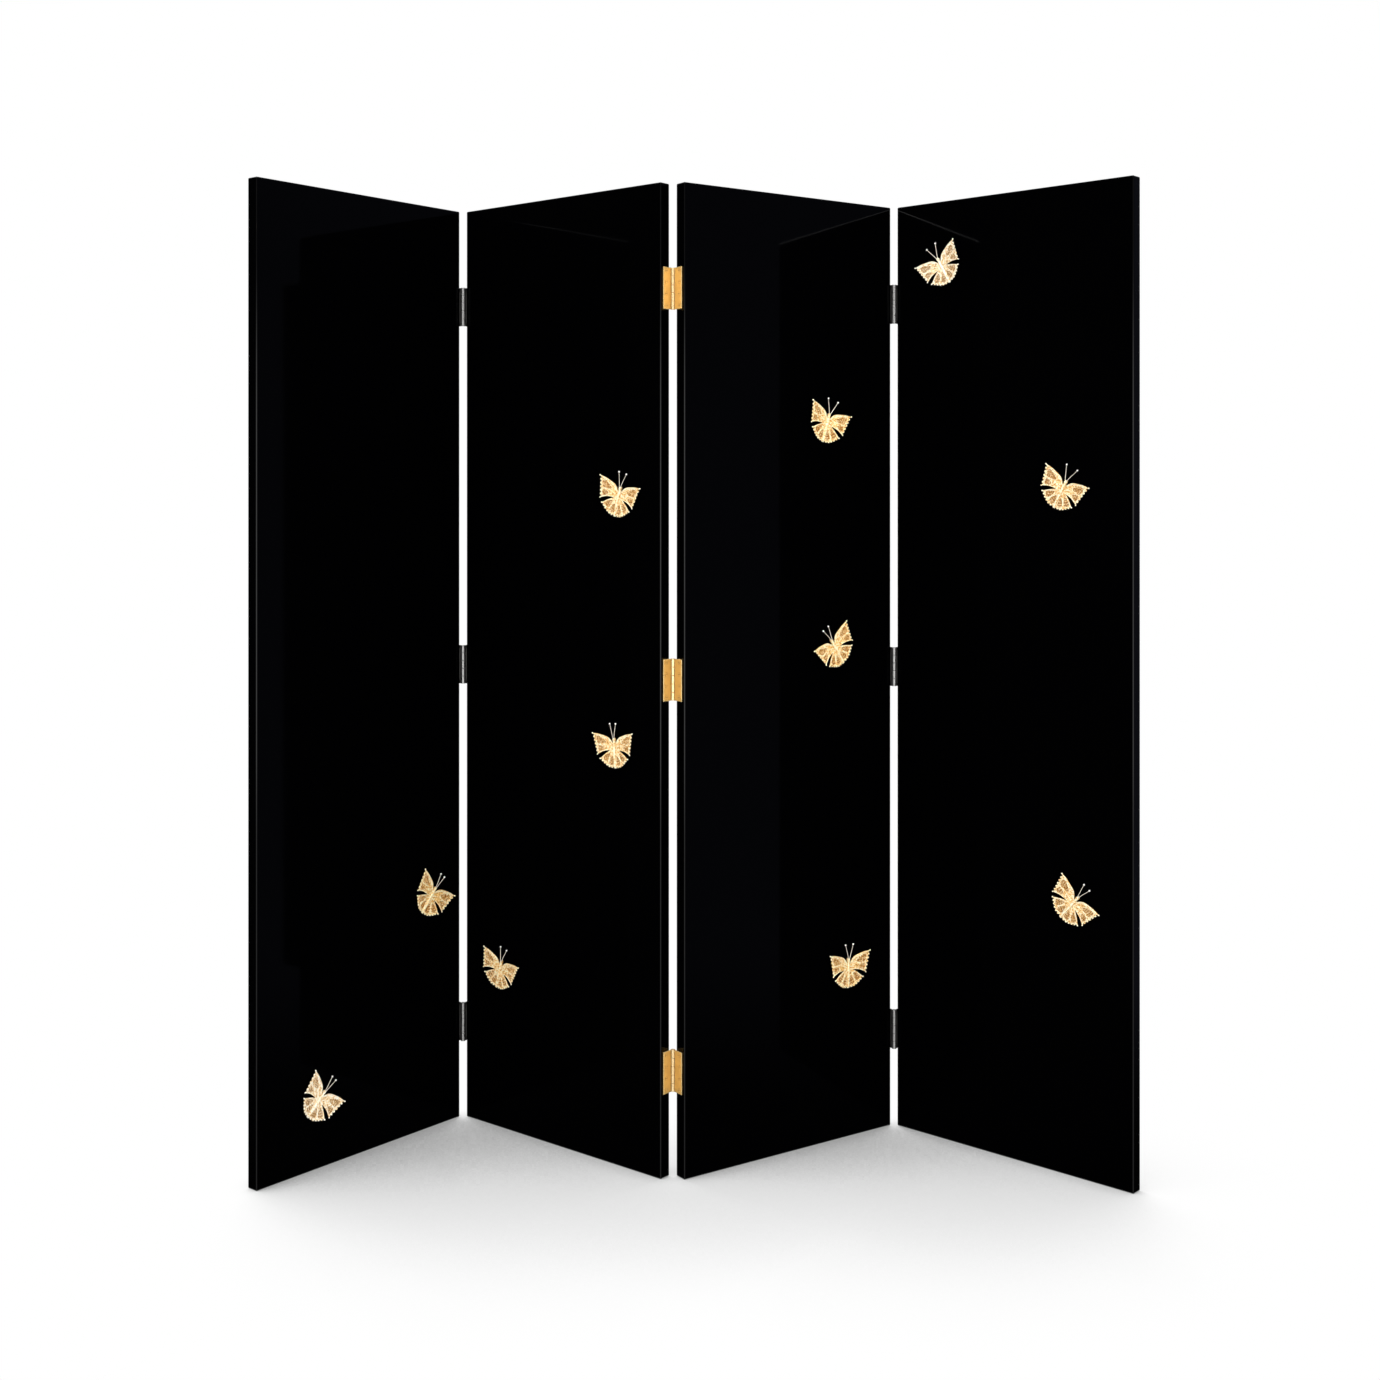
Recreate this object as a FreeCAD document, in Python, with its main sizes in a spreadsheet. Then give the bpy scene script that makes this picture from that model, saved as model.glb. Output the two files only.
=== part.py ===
import FreeCAD, Part
import math
import os
import re

import Sketcher
from collections import namedtuple
from FreeCAD import Placement, Rotation, Vector

# A four-panel folding screen. Black lacquered panels stand in a zigzag, each pair joined by three
# butt hinges, and gilt butterflies are fixed on the front faces. +Z is up, +X runs to the right
# and +Y points away from someone in front of the screen. The origin lies on the floor, in the
# middle of the zigzag's footprint.

# Driving dimensions, in millimetres and degrees
SIZES = {
    "panel_width": 500,
    "panel_height": 1800,
    "panel_thickness": 25,
    "skin_thickness": 3,
    "lipping_width": 12,
    "arris_radius": 2.5,
    "first_heading": 49.4,
    "left_fold_angle": 90.0,
    "centre_fold_angle": 74.5,
    "right_fold_angle": 77.2,
    "leaf_height": 76,
    "leaf_thickness": 2,
    "leaf_cover": 19,
    "leaf_gap": 0.8,
    "knuckle_radius": 4.5,
    "knuckle_clearance": 0.3,
    "notch_clearance": 0.7,
    "pin_radius": 2,
    "pin_clearance": 0.05,
    "hinge_inset": 190,
    "fold_clearance": 4.4,
    "body_length": 53,
    "body_width": 4.8,
    "body_height": 6.4,
    "head_width": 5.6,
    "wing_reach": 51,
    "wing_thickness": 1.2,
    "wing_lift": 2.2,
    "wing_tilt": 6.5,
    "scallop_depth": 1.1,
    "feeler_lift": 4.6,
    "feeler_reach": 26,
    "feeler_spread": 9,
    "feeler_width": 1.1,
    "bead_radius": 1.5,
    "cut_overrun": 1,
}

# Counts
KNUCKLE_COUNT = 5
BARREL_SIDE_COUNT = 16
BORE_SIDE_COUNT = 10
BEAD_SIDE_COUNT = 6
FOREWING_SCALLOP_COUNT = 4

# Points of the right wings, as shares of the wing's reach: across, and along from the body's middle
WING_SHARES = {
    "neck": (0.03, 0.28),
    "shoulder": (0.255, 0.545),
    "crest": (0.575, 0.66),
    "outer crest": (0.78, 0.705),
    "upper tip": (1.00, 0.72),
    "lower tip": (0.815, -0.085),
    "trailing bend": (0.515, 0.04),
    "slit": (0.175, 0.08),
    "hind bend": (0.45, -0.07),
    "hind corner": (0.69, -0.245),
    "rim quarter": (0.525, -0.41),
    "rim": (0.28, -0.565),
    "rim end": (0.03, -0.59),
}

# The number of scallops between points of the hindwing's rim
HIND_SCALLOP_COUNTS = {
    ("hind corner", "rim quarter"): 1,
    ("rim quarter", "rim"): 2,
    ("rim", "rim end"): 2,
}

# How far along a scallop its two shoulders are
SCALLOP_SHARES = (0.22, 0.78)

# Points of the body's right side, as shares of half its width there and of its length
TAIL_SHARES = (0.50, -0.56)
THORAX_SHARES = (1.00, 0.10)
NECK_SHARES = (0.80, 0.36)
CHEEK_SHARES = (1.00, 0.44)
BROW_SHARES = (0.50, 0.50)

# Where each butterfly is: its panel, shares of the panel's width and height, and its lean
BUTTERFLY_PLACE_SHARES = [
    ("panel_1", 0.829, 0.249, 39.5),
    ("panel_1", 0.264, 0.068, 47),
    ("panel_2", 0.801, 0.680, 15.5),
    ("panel_2", 0.786, 0.423, -3.5),
    ("panel_2", 0.189, 0.168, 16),
    ("panel_3", 0.657, 0.759, 17.5),
    ("panel_3", 0.717, 0.521, -34.5),
    ("panel_3", 0.774, 0.177, 1),
    ("panel_4", 0.220, 0.926, -29.5),
    ("panel_4", 0.716, 0.688, 28),
    ("panel_4", 0.754, 0.272, 41.5),
]

# Each joint's left and right panels, how far the heading turns there, and whether its pins stand
# at the front
JOINTS = {
    "left_joint": ("panel_1", "panel_2", "-left_fold_angle", True),
    "centre_joint": ("panel_2", "panel_3", "centre_fold_angle", False),
    "right_joint": ("panel_3", "panel_4", "-right_fold_angle", True),
}

# Derived sizes, in the names of the driving ones
END_GAP = "(leaf_thickness + leaf_gap / 2)"
ORNAMENT_HEIGHT = "(wing_lift + wing_reach * sin(wing_tilt) + wing_thickness)"
PIN_STANDOFF = f"(({ORNAMENT_HEIGHT} + fold_clearance) / 2)"
NOTCH_START = "(knuckle_radius + notch_clearance)"
KNUCKLE_PITCH = f"(leaf_height / {KNUCKLE_COUNT})"

X_AXIS = Vector(1, 0, 0)
Y_AXIS = Vector(0, 1, 0)
Z_AXIS = Vector(0, 0, 1)

doc = FreeCAD.newDocument("lacquer_screen")
sheet = doc.addObject("Spreadsheet::Sheet", "Sizes")
for row, (alias, value) in enumerate(SIZES.items(), start=1):
    sheet.set(f"A{row}", alias)
    sheet.set(f"B{row}", str(value))
    sheet.setAlias(f"B{row}", alias)
doc.recompute()
nodes = []


def in_sheet(expression):
    """The expression with each driving dimension's name led by the sheet's."""
    return re.sub(r"[a-z_]+", lambda word: ("Sizes." if word[0] in SIZES else "") + word[0], expression)


def size(expression):
    """The value of an expression in the names of the driving dimensions."""
    return float(sheet.evalExpression(in_sheet(expression)))


def bind(item, **expressions):
    """Drives properties of item by the sheet."""
    for name, expression in expressions.items():
        item.setExpression(name, in_sheet(expression))


def keep(item, label, place):
    """Puts item at its place in the screen, and marks it as a sub-part by its name."""
    item.Label = label
    item.Placement = place
    nodes.append(item)
    return item


# Sketches. A corner is a pair of expressions; where the edge that starts there is an arc, radius is
# its radius, and side is 1 where it bulges to the right of the way along and -1 to the left
Corner = namedtuple("Corner", "across along radius side", defaults=(None, 1))


def new_sketch(body, plane, name, lift="0", tilt_axis=Z_AXIS, tilt="0"):
    """An empty sketch on one of the body's own planes, lifted off it and tilted about tilt_axis."""
    sketch = body.newObject("Sketcher::SketchObject", name)
    role = [feature for feature in body.Origin.OriginFeatures if feature.Role == plane]
    sketch.AttachmentSupport = [(role[0], "")]
    sketch.MapMode = "FlatFace"
    sketch.AttachmentOffset = Placement(Vector(0, 0, size(lift)), Rotation(tilt_axis, size(tilt)))
    sketch.setExpression("AttachmentOffset.Base.z", in_sheet(lift))
    sketch.setExpression("AttachmentOffset.Rotation.Angle", in_sheet(tilt))
    return sketch


def hold(sketch, constraint, expression):
    """Adds a constraint whose value the expression drives."""
    index = sketch.addConstraint(constraint)
    sketch.setExpression(f"Constraints[{index}]", in_sheet(expression))


def draw_outline(sketch, corners):
    """Closes the corners, each held by its expressions, into one outline of lines and arcs."""
    points = [Vector(size(corner.across), size(corner.along), 0) for corner in corners]
    ends = points[1:] + points[:1]
    for corner, start, end in zip(corners, points, ends):
        if corner.radius is None:
            sketch.addGeometry(Part.LineSegment(start, end), False)
            continue
        radius = size(corner.radius)
        chord = end - start
        rise = radius - math.sqrt(radius**2 - (chord.Length / 2) ** 2)
        outwards = Vector(chord.y, -chord.x, 0).normalize() * corner.side
        sketch.addGeometry(Part.Arc(start, (start + end) / 2 + outwards * rise, end), False)
    # a clockwise arc, which bulges to the left, is held from its other end
    firsts = [2 if corner.radius and corner.side < 0 else 1 for corner in corners]
    for i, corner in enumerate(corners):
        after = (i + 1) % len(corners)
        sketch.addConstraint(Sketcher.Constraint("Coincident", i, 3 - firsts[i], after, firsts[after]))
        hold(sketch, Sketcher.Constraint("DistanceX", -1, 1, i, firsts[i], points[i].x), corner.across)
        hold(sketch, Sketcher.Constraint("DistanceY", -1, 1, i, firsts[i], points[i].y), corner.along)
        if corner.radius is not None:
            hold(sketch, Sketcher.Constraint("Radius", i, size(corner.radius)), corner.radius)


def ring(sides, radius, across="0", along="0"):
    """The corners of a many-sided ring round a centre, whose sides touch a circle of the radius."""
    half_angle = math.pi / sides
    corners = []
    for i in range(sides):
        turn = (2 * i + 1) * half_angle
        across_share = math.cos(turn) / math.cos(half_angle)
        along_share = math.sin(turn) / math.cos(half_angle)
        corners.append(
            Corner(
                f"{across} + ({across_share:.6f}) * ({radius})",
                f"{along} + ({along_share:.6f}) * ({radius})",
            )
        )
    return corners


def new_body(name):
    """A body that is drawn once and then copied to its places."""
    return doc.addObject("PartDesign::Body", name)


def pad(body, sketch, length, sides="One side"):
    """Pads the sketch along its normal."""
    feature = body.newObject("PartDesign::Pad", sketch.Name + "_pad")
    feature.Profile = sketch
    feature.SideType = sides
    bind(feature, Length=length)
    return feature


def pocket_through(body, sketch):
    """Cuts the sketch's outline right through the body, both ways."""
    feature = body.newObject("PartDesign::Pocket", sketch.Name + "_pocket")
    feature.Profile = sketch
    feature.Type = "ThroughAll"
    feature.SideType = "Symmetric"
    return feature


def copy_of(drawn, name):
    """A body of its own with the drawn body's shape."""
    copy = doc.addObject("PartDesign::Body", name)
    copy.BaseFeature = drawn
    return copy


# The zigzag: where each panel stands

def pin_line(at_front):
    """How far the pins are behind a panel's front face."""
    return -size(PIN_STANDOFF) if at_front else size(f"panel_thickness + {PIN_STANDOFF}")


def zigzag():
    """Each panel's placement, from its lower front left corner, and each joint's pin axis."""
    gap = size(END_GAP)
    heading = size("first_heading")
    panels = {"panel_1": Placement(Vector(), Rotation(Z_AXIS, heading))}
    pins = {}
    for joint, (left, right, fold, at_front) in JOINTS.items():
        heading += size(fold)
        turn = Rotation(Z_AXIS, heading)
        back = pin_line(at_front)
        pins[joint] = panels[left].multVec(Vector(size("panel_width") + gap, back, 0))
        panels[right] = Placement(pins[joint] - turn.multVec(Vector(-gap, back, 0)), turn)
    # the footprint is that of the rounded upright arrises
    rounding = size("arris_radius")
    across = (rounding, size("panel_width - arris_radius"))
    through = (rounding, size("panel_thickness - arris_radius"))
    centres = [place.multVec(Vector(x, y, 0)) for place in panels.values() for x in across for y in through]
    middle = Vector(
        (min(point.x for point in centres) + max(point.x for point in centres)) / 2,
        (min(point.y for point in centres) + max(point.y for point in centres)) / 2,
        0,
    )
    for place in panels.values():
        place.Base = place.Base - middle
    return panels, {joint: pin - middle for joint, pin in pins.items()}


# Panels: a core between two skins, edged by four mitred lippings

def draw_lipping(name, run):
    """A lipping along +Z, with its outer face at x = 0, rounded arrises and mitred ends."""
    body = new_body(name)
    section = new_sketch(body, "XY_Plane", name + "_section")
    corners = [
        Corner("arris_radius", "0"),
        Corner("lipping_width", "0"),
        Corner("lipping_width", "panel_thickness"),
        Corner("arris_radius", "panel_thickness", "arris_radius"),
        Corner("0", "panel_thickness - arris_radius"),
        Corner("0", "arris_radius", "arris_radius"),
    ]
    draw_outline(section, corners)
    pad(body, section, run)
    low = "(-cut_overrun)"
    inner = "(lipping_width + cut_overrun)"
    for end, foot, slope in (("foot", "0", 1), ("head", run, -1)):
        mitre = new_sketch(body, "XZ_Plane", f"{name}_{end}_mitre")
        corners = [
            Corner(low, f"{foot} + {slope} * {low}"),
            Corner(inner, f"{foot} + {slope} * {low}"),
            Corner(inner, f"{foot} + {slope} * {inner}"),
        ]
        draw_outline(mitre, corners)
        pocket_through(body, mitre)
    return body


def build_panel(name, place, upright, rail):
    """One panel's seven pieces."""
    inset = size("lipping_width")
    boards = {
        "front_skin": ("skin_thickness", 0),
        "core": ("panel_thickness - 2 * skin_thickness", size("skin_thickness")),
        "back_skin": ("skin_thickness", size("panel_thickness - skin_thickness")),
    }
    for piece, (thickness, depth) in boards.items():
        board = doc.addObject("Part::Box", f"{name}_{piece}")
        bind(
            board,
            Length="panel_width - 2 * lipping_width",
            Width=thickness,
            Height="panel_height - 2 * lipping_width",
        )
        keep(board, f"{name}_{piece}", place * Placement(Vector(inset, depth, inset), Rotation()))
    # the four sides, each a turn of a quarter further about the panel's depth
    sides = {
        "left_lipping": (upright, Vector(), 0),
        "bottom_lipping": (rail, Vector(size("panel_width"), 0, 0), -90),
        "right_lipping": (upright, Vector(size("panel_width"), 0, size("panel_height")), 180),
        "top_lipping": (rail, Vector(0, 0, size("panel_height")), 90),
    }
    for piece, (drawn, corner, turn) in sides.items():
        side = copy_of(drawn, f"{name}_{piece}")
        keep(side, f"{name}_{piece}", place * Placement(corner, Rotation(Y_AXIS, turn)))


# Hinges. A leaf is drawn about its pin's axis at half height: the panel's end face lies at
# x = -END_GAP, and the panel's near face at y = PIN_STANDOFF

def draw_leaf(name, first_slot, knuckles):
    """A leaf whose knuckles take every other one of the hinge's slots, from first_slot up."""
    body = new_body(name)
    plate = new_sketch(body, "YZ_Plane", name + "_plate", f"-{END_GAP}")
    corners = [
        Corner(NOTCH_START, "-leaf_height / 2"),
        Corner(f"{PIN_STANDOFF} + leaf_cover", "-leaf_height / 2"),
        Corner(f"{PIN_STANDOFF} + leaf_cover", "leaf_height / 2"),
        Corner(NOTCH_START, "leaf_height / 2"),
    ]
    draw_outline(plate, corners)
    pad(body, plate, "leaf_thickness")
    lift = f"{first_slot} * {KNUCKLE_PITCH} + knuckle_clearance / 2 - leaf_height / 2"
    length = f"{KNUCKLE_PITCH} - knuckle_clearance"
    tab = new_sketch(body, "XY_Plane", name + "_tab", lift)
    corners = [
        Corner(f"-{END_GAP}", "0"),
        Corner("-leaf_gap / 2", "0"),
        Corner("-leaf_gap / 2", NOTCH_START),
        Corner(f"-{END_GAP}", NOTCH_START),
    ]
    draw_outline(tab, corners)
    barrel = new_sketch(body, "XY_Plane", name + "_barrel", lift)
    draw_outline(barrel, ring(BARREL_SIDE_COUNT, "knuckle_radius"))
    originals = [pad(body, tab, length), pad(body, barrel, length)]
    row = body.newObject("PartDesign::LinearPattern", name + "_knuckles")
    row.Originals = originals
    row.Direction = (barrel, ["N_Axis"])
    row.Mode = "Spacing"
    bind(row, Offset=f"2 * {KNUCKLE_PITCH}")
    row.Occurrences = knuckles
    body.Tip = row
    bore = new_sketch(body, "XY_Plane", name + "_bore")
    draw_outline(bore, ring(BORE_SIDE_COUNT, "pin_radius + pin_clearance"))
    pocket_through(body, bore)
    return body


def hinge_heights():
    """The height of each hinge's middle."""
    return {
        "bottom": size("hinge_inset"),
        "middle": size("panel_height / 2"),
        "top": size("panel_height - hinge_inset"),
    }


def build_leaves(joint, panel, place, drawn, at_left_end, at_front):
    """The three leaves on one end of a panel."""
    gap = size(END_GAP)
    across = -gap if at_left_end else size("panel_width") + gap
    if at_front:
        turn = Rotation(Y_AXIS, 180) if at_left_end else Rotation()
    else:
        turn = Rotation(Z_AXIS, 180) if at_left_end else Rotation(X_AXIS, 180)
    for level, height in hinge_heights().items():
        name = f"{joint}_{level}_leaf_{panel}"
        spot = Placement(Vector(across, pin_line(at_front), height), turn)
        keep(copy_of(drawn, name), name, place * spot)


def build_pins(joint, axis):
    """The three pins of a joint."""
    for level, height in hinge_heights().items():
        pin = doc.addObject("Part::Cylinder", f"{joint}_{level}_pin")
        bind(pin, Radius="pin_radius", Height="leaf_height")
        foot = axis + Vector(0, 0, height - size("leaf_height / 2"))
        keep(pin, f"{joint}_{level}_pin", Placement(foot, Rotation()))


# Butterflies. One is drawn with its back on z = 0, its middle at the origin and its head towards +Y

def wing_corner(point, radius=None, side=1):
    """A corner at a point given in shares of the wing's reach."""
    return Corner(f"{point.x:.6f} * wing_reach", f"{point.y:.6f} * wing_reach", radius, side)


def wing_point(name):
    """The corner at a named point of the wings, with a straight edge after it."""
    return wing_corner(Vector(*WING_SHARES[name], 0))


def wing_arc(start, middle, end):
    """The corner of the arc that starts at one named point and runs through two more."""
    points = [Vector(*WING_SHARES[name], 0) for name in (start, middle, end)]
    bend = (points[2] - points[0]).cross(points[1] - points[0]).z
    radius = Part.Circle(*points).Radius
    return [wing_corner(points[0], f"{radius:.6f} * wing_reach", 1 if bend < 0 else -1)]


def scallops(start, end, count):
    """The corners of count equal scallops, each a foot and two shoulders, between two named points."""
    first = Vector(*WING_SHARES[start], 0)
    step = (Vector(*WING_SHARES[end], 0) - first) / count
    outwards = Vector(-step.y, step.x, 0).normalize()
    corners = []
    for i in range(count):
        corners.append(wing_corner(first + step * i))
        for share in SCALLOP_SHARES:
            foot = first + step * (i + share)
            across = f"{foot.x:.6f} * wing_reach + {outwards.x:.6f} * scallop_depth"
            along = f"{foot.y:.6f} * wing_reach + {outwards.y:.6f} * scallop_depth"
            corners.append(Corner(across, along))
    return corners


def draw_wings(sketch):
    """The right forewing and hindwing as one outline, clockwise from the neck."""
    corners = wing_arc("neck", "shoulder", "crest")
    corners += wing_arc("crest", "outer crest", "upper tip")
    corners += scallops("upper tip", "lower tip", FOREWING_SCALLOP_COUNT)
    corners += [wing_point(name) for name in ("lower tip", "trailing bend", "slit", "hind bend")]
    for (start, end), count in HIND_SCALLOP_COUNTS.items():
        corners += scallops(start, end, count)
    corners.append(wing_point("rim end"))
    draw_outline(sketch, corners)


def draw_butterfly():
    """A bar body with a head, two pairs of scalloped wings and two feelers with beads."""
    body = new_body("butterfly")
    bar = new_sketch(body, "XY_Plane", "bar")
    side = [
        (TAIL_SHARES, "body_width"),
        (THORAX_SHARES, "body_width"),
        (NECK_SHARES, "body_width"),
        (CHEEK_SHARES, "head_width"),
        (BROW_SHARES, "head_width"),
    ]
    right = [Corner(f"{x} * {width} / 2", f"{y} * body_length") for (x, y), width in side]
    left = [Corner(f"-{x} * {width} / 2", f"{y} * body_length") for (x, y), width in reversed(side)]
    draw_outline(bar, right + left)
    pad(body, bar, "body_height")
    wings = new_sketch(body, "XY_Plane", "wings", "wing_lift", Vector(0, -1, 0), "wing_tilt")
    draw_wings(wings)
    wing_pad = pad(body, wings, "wing_thickness")
    feeler = new_sketch(body, "XY_Plane", "feeler", "feeler_lift")
    root = f"{CHEEK_SHARES[1]} * body_length"
    tip = "body_length / 2 + feeler_reach"
    corners = [
        Corner("0", root),
        Corner("feeler_width", root),
        Corner("feeler_spread + feeler_width / 2", tip),
        Corner("feeler_spread - feeler_width / 2", tip),
    ]
    draw_outline(feeler, corners)
    feeler_pad = pad(body, feeler, "feeler_width")
    bead = new_sketch(body, "XY_Plane", "bead", "feeler_lift")
    draw_outline(bead, ring(BEAD_SIDE_COUNT, "bead_radius", "feeler_spread", tip))
    bead_pad = pad(body, bead, "bead_radius")
    mirrored = body.newObject("PartDesign::Mirrored", "left_side")
    mirrored.Originals = [wing_pad, feeler_pad, bead_pad]
    planes = [feature for feature in body.Origin.OriginFeatures if feature.Role == "YZ_Plane"]
    mirrored.MirrorPlane = (planes[0], [""])
    body.Tip = mirrored
    return body


def build_butterflies(panel, drawn, place):
    """The butterflies on a panel's front face, as one group, each head leaning to the right."""
    copies = []
    for number, (home, across_share, up_share, lean) in enumerate(BUTTERFLY_PLACE_SHARES, start=1):
        if home != panel:
            continue
        spot = Vector(across_share * size("panel_width"), 0, up_share * size("panel_height"))
        copy = copy_of(drawn, f"butterfly_{number}")
        copy.Placement = Placement(spot, Rotation(X_AXIS, 90) * Rotation(Z_AXIS, -lean))
        copies.append(copy)
    group = doc.addObject("Part::Compound", f"{panel}_butterflies")
    group.Links = copies
    keep(group, f"{panel}_butterflies", place)


# The screen
panel_places, pin_axes = zigzag()
upright = draw_lipping("upright_lipping", "panel_height")
rail = draw_lipping("rail_lipping", "panel_width")
three_knuckles = draw_leaf("three_knuckle_leaf", 0, (KNUCKLE_COUNT + 1) // 2)
two_knuckles = draw_leaf("two_knuckle_leaf", 1, KNUCKLE_COUNT // 2)
butterfly = draw_butterfly()
for panel, place in panel_places.items():
    build_panel(panel, place, upright, rail)
    build_butterflies(panel, butterfly, place)
for joint, (left, right, _, at_front) in JOINTS.items():
    build_leaves(joint, left, panel_places[left], two_knuckles, False, at_front)
    build_leaves(joint, right, panel_places[right], three_knuckles, True, at_front)
    build_pins(joint, pin_axes[joint])
doc.recompute()

# Every object and every sub-part is sound before anything is written
failed = [item.Label for item in doc.Objects if {"Invalid", "Error"} & set(item.State)]
failed += [item.Label for item in nodes if item.Shape.isNull() or not item.Shape.isValid()]
if failed:
    raise RuntimeError("these objects failed: " + ", ".join(failed))
for drawn in (upright, rail, three_knuckles, two_knuckles, butterfly):
    print(drawn.Label, "volume", round(drawn.Shape.Volume, 1), "solids", len(drawn.Shape.Solids))
for joint, axis in pin_axes.items():
    print(joint, "axis at", round(axis.x, 3), round(axis.y, 3))
for panel, place in panel_places.items():
    print(panel, "corner at", round(place.Base.x, 3), round(place.Base.y, 3))
os.makedirs("parts", exist_ok=True)
for item in nodes:
    item.Shape.exportStep(f"parts/{item.Label}.step")
print(len(nodes), "sub-parts written")
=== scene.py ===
import math

import bmesh
import bpy
import numpy as np
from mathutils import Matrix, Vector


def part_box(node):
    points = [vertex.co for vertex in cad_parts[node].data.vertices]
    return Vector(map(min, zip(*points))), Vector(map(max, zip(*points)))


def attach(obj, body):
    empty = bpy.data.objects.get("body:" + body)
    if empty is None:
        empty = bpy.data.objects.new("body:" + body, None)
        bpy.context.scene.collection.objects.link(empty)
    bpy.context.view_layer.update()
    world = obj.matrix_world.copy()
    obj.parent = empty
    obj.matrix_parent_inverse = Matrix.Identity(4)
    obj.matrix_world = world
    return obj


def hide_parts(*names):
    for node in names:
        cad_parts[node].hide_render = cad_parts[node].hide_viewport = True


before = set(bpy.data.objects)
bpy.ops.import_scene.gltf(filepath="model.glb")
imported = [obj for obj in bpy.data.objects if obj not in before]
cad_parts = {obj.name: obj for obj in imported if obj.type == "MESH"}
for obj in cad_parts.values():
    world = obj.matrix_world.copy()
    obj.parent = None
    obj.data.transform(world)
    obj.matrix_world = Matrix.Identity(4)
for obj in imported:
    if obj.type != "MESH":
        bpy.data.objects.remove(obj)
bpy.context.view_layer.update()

# A folding screen of four black lacquer panels, with brass butt hinges between them and gilt
# filigree butterflies on the front faces. Lengths are in metres.

MM = 0.001

# The photograph: its side in pixels, the lens in pixels, and the pixel straight ahead of the camera
PHOTO_SIDE = 1380
LENS_PIXELS = 1751.7
AHEAD_PIXEL = (622.03, 502.39)
CAMERA_PLACE = (-0.1267, -3.2983, 1.2218)
SENSOR_WIDTH = 36

# Panels
PANELS = ("panel_1", "panel_2", "panel_3", "panel_4")
PANEL_PIECES = (
    "core", "front_skin", "back_skin", "left_lipping", "right_lipping", "top_lipping", "bottom_lipping",
)
PANEL_SIZE = np.array((500, 25, 1800)) * MM
ARRIS_RADIUS = 2.5 * MM
ARRIS_STEPS = 8

# Hinges: each joint's left and right panels, whether its pins are at the front, and its metal
JOINTS = {
    "left_joint": ("panel_1", "panel_2", True, "blackened_brass"),
    "centre_joint": ("panel_2", "panel_3", False, "polished_brass"),
    "right_joint": ("panel_3", "panel_4", True, "blackened_brass"),
}
LEVELS = ("bottom", "middle", "top")
LEAF_HEIGHT = 76 * MM
LEAF_THICKNESS = 2 * MM
LEAF_COVER = 19 * MM
LEAF_GAP = 0.8 * MM
LEAF_EDGE = 0.3 * MM
KNUCKLE_RADIUS = 4.5 * MM
KNUCKLE_EDGE = 0.3 * MM
KNUCKLE_COUNT = 5
KNUCKLE_CLEARANCE = 0.3 * MM
KNUCKLE_ROOT = 0.75
NOTCH_CLEARANCE = 0.7 * MM
BORE_RADIUS = 2.1 * MM
PIN_RADIUS = 2 * MM
PIN_CROWN = 0.5 * MM
ROUND_STEPS = 40

# Countersunk screws, evenly spaced up each leaf; a hole's radius and depth from its middle outwards,
# and the rows of points beside a head's slot and the points in each
SCREW_COUNT = 4
SCREW_PITCH = 21 * MM
SCREW_INSET = 7.5 * MM
SCREW_RADIUS = 3.4 * MM
SCREW_CROWN = 0.15 * MM
SCREW_DEPTH = 1.5 * MM
SHANK_RADIUS = 1.8 * MM
SLOT_WIDTH = 0.9 * MM
SLOT_DEPTH = 0.6 * MM
HOLE_RADII = np.array((0, 1.0, 2.0, 3.5, 3.75)) * MM
HOLE_DEPTHS = np.array((1.6, 1.6, 1.6, 0.15, 0)) * MM
HOLE_BLOCK = 4.6 * MM
SCREW_ROWS = 5
SCREW_COLUMNS = 7

# Butterflies: panel, shares of its width and height, lean in degrees, the size of its wings, half the
# feelers' spread in millimetres, and how pale the gilding is
BUTTERFLIES = (
    ("panel_1", 0.829, 0.249, 39.5, 1.01, 6.0, 0.05),
    ("panel_1", 0.269, 0.0685, 47, 1.00, 6.0, 0.65),
    ("panel_2", 0.801, 0.6805, 15.5, 0.98, 9.0, 0.20),
    ("panel_2", 0.786, 0.423, -3.5, 0.955, 7.0, 0.20),
    ("panel_2", 0.189, 0.168, 16, 0.965, 8.4, 0.15),
    ("panel_3", 0.663, 0.759, 17.5, 0.99, 12.5, 0.05),
    ("panel_3", 0.717, 0.521, -34.5, 0.965, 7.5, 0.05),
    ("panel_3", 0.774, 0.177, 1, 1.00, 9.6, 0.10),
    ("panel_4", 0.216, 0.927, -29.5, 0.97, 10.8, 0.65),
    ("panel_4", 0.716, 0.688, 28, 0.965, 12.0, 0.25),
    ("panel_4", 0.754, 0.272, 41.5, 0.965, 7.0, 0.25),
)
WING_REACH = 51 * MM
WING_LIFT = 2.2 * MM
WING_TILT = math.radians(6.5)

# Points of the right wings as shares of their reach: across, and along from the body's middle
WING_SHARES = {
    "neck": (0.03, 0.28),
    "shoulder": (0.255, 0.545),
    "crest": (0.575, 0.66),
    "outer crest": (0.78, 0.705),
    "upper tip": (1.00, 0.72),
    "lower tip": (0.815, -0.085),
    "trailing bend": (0.515, 0.04),
    "slit": (0.175, 0.08),
    "waist": (0.03, 0.085),
    "hind bend": (0.45, -0.07),
    "hind corner": (0.69, -0.245),
    "rim quarter": (0.525, -0.41),
    "rim": (0.28, -0.565),
    "rim end": (0.03, -0.59),
}


# Meshes

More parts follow.
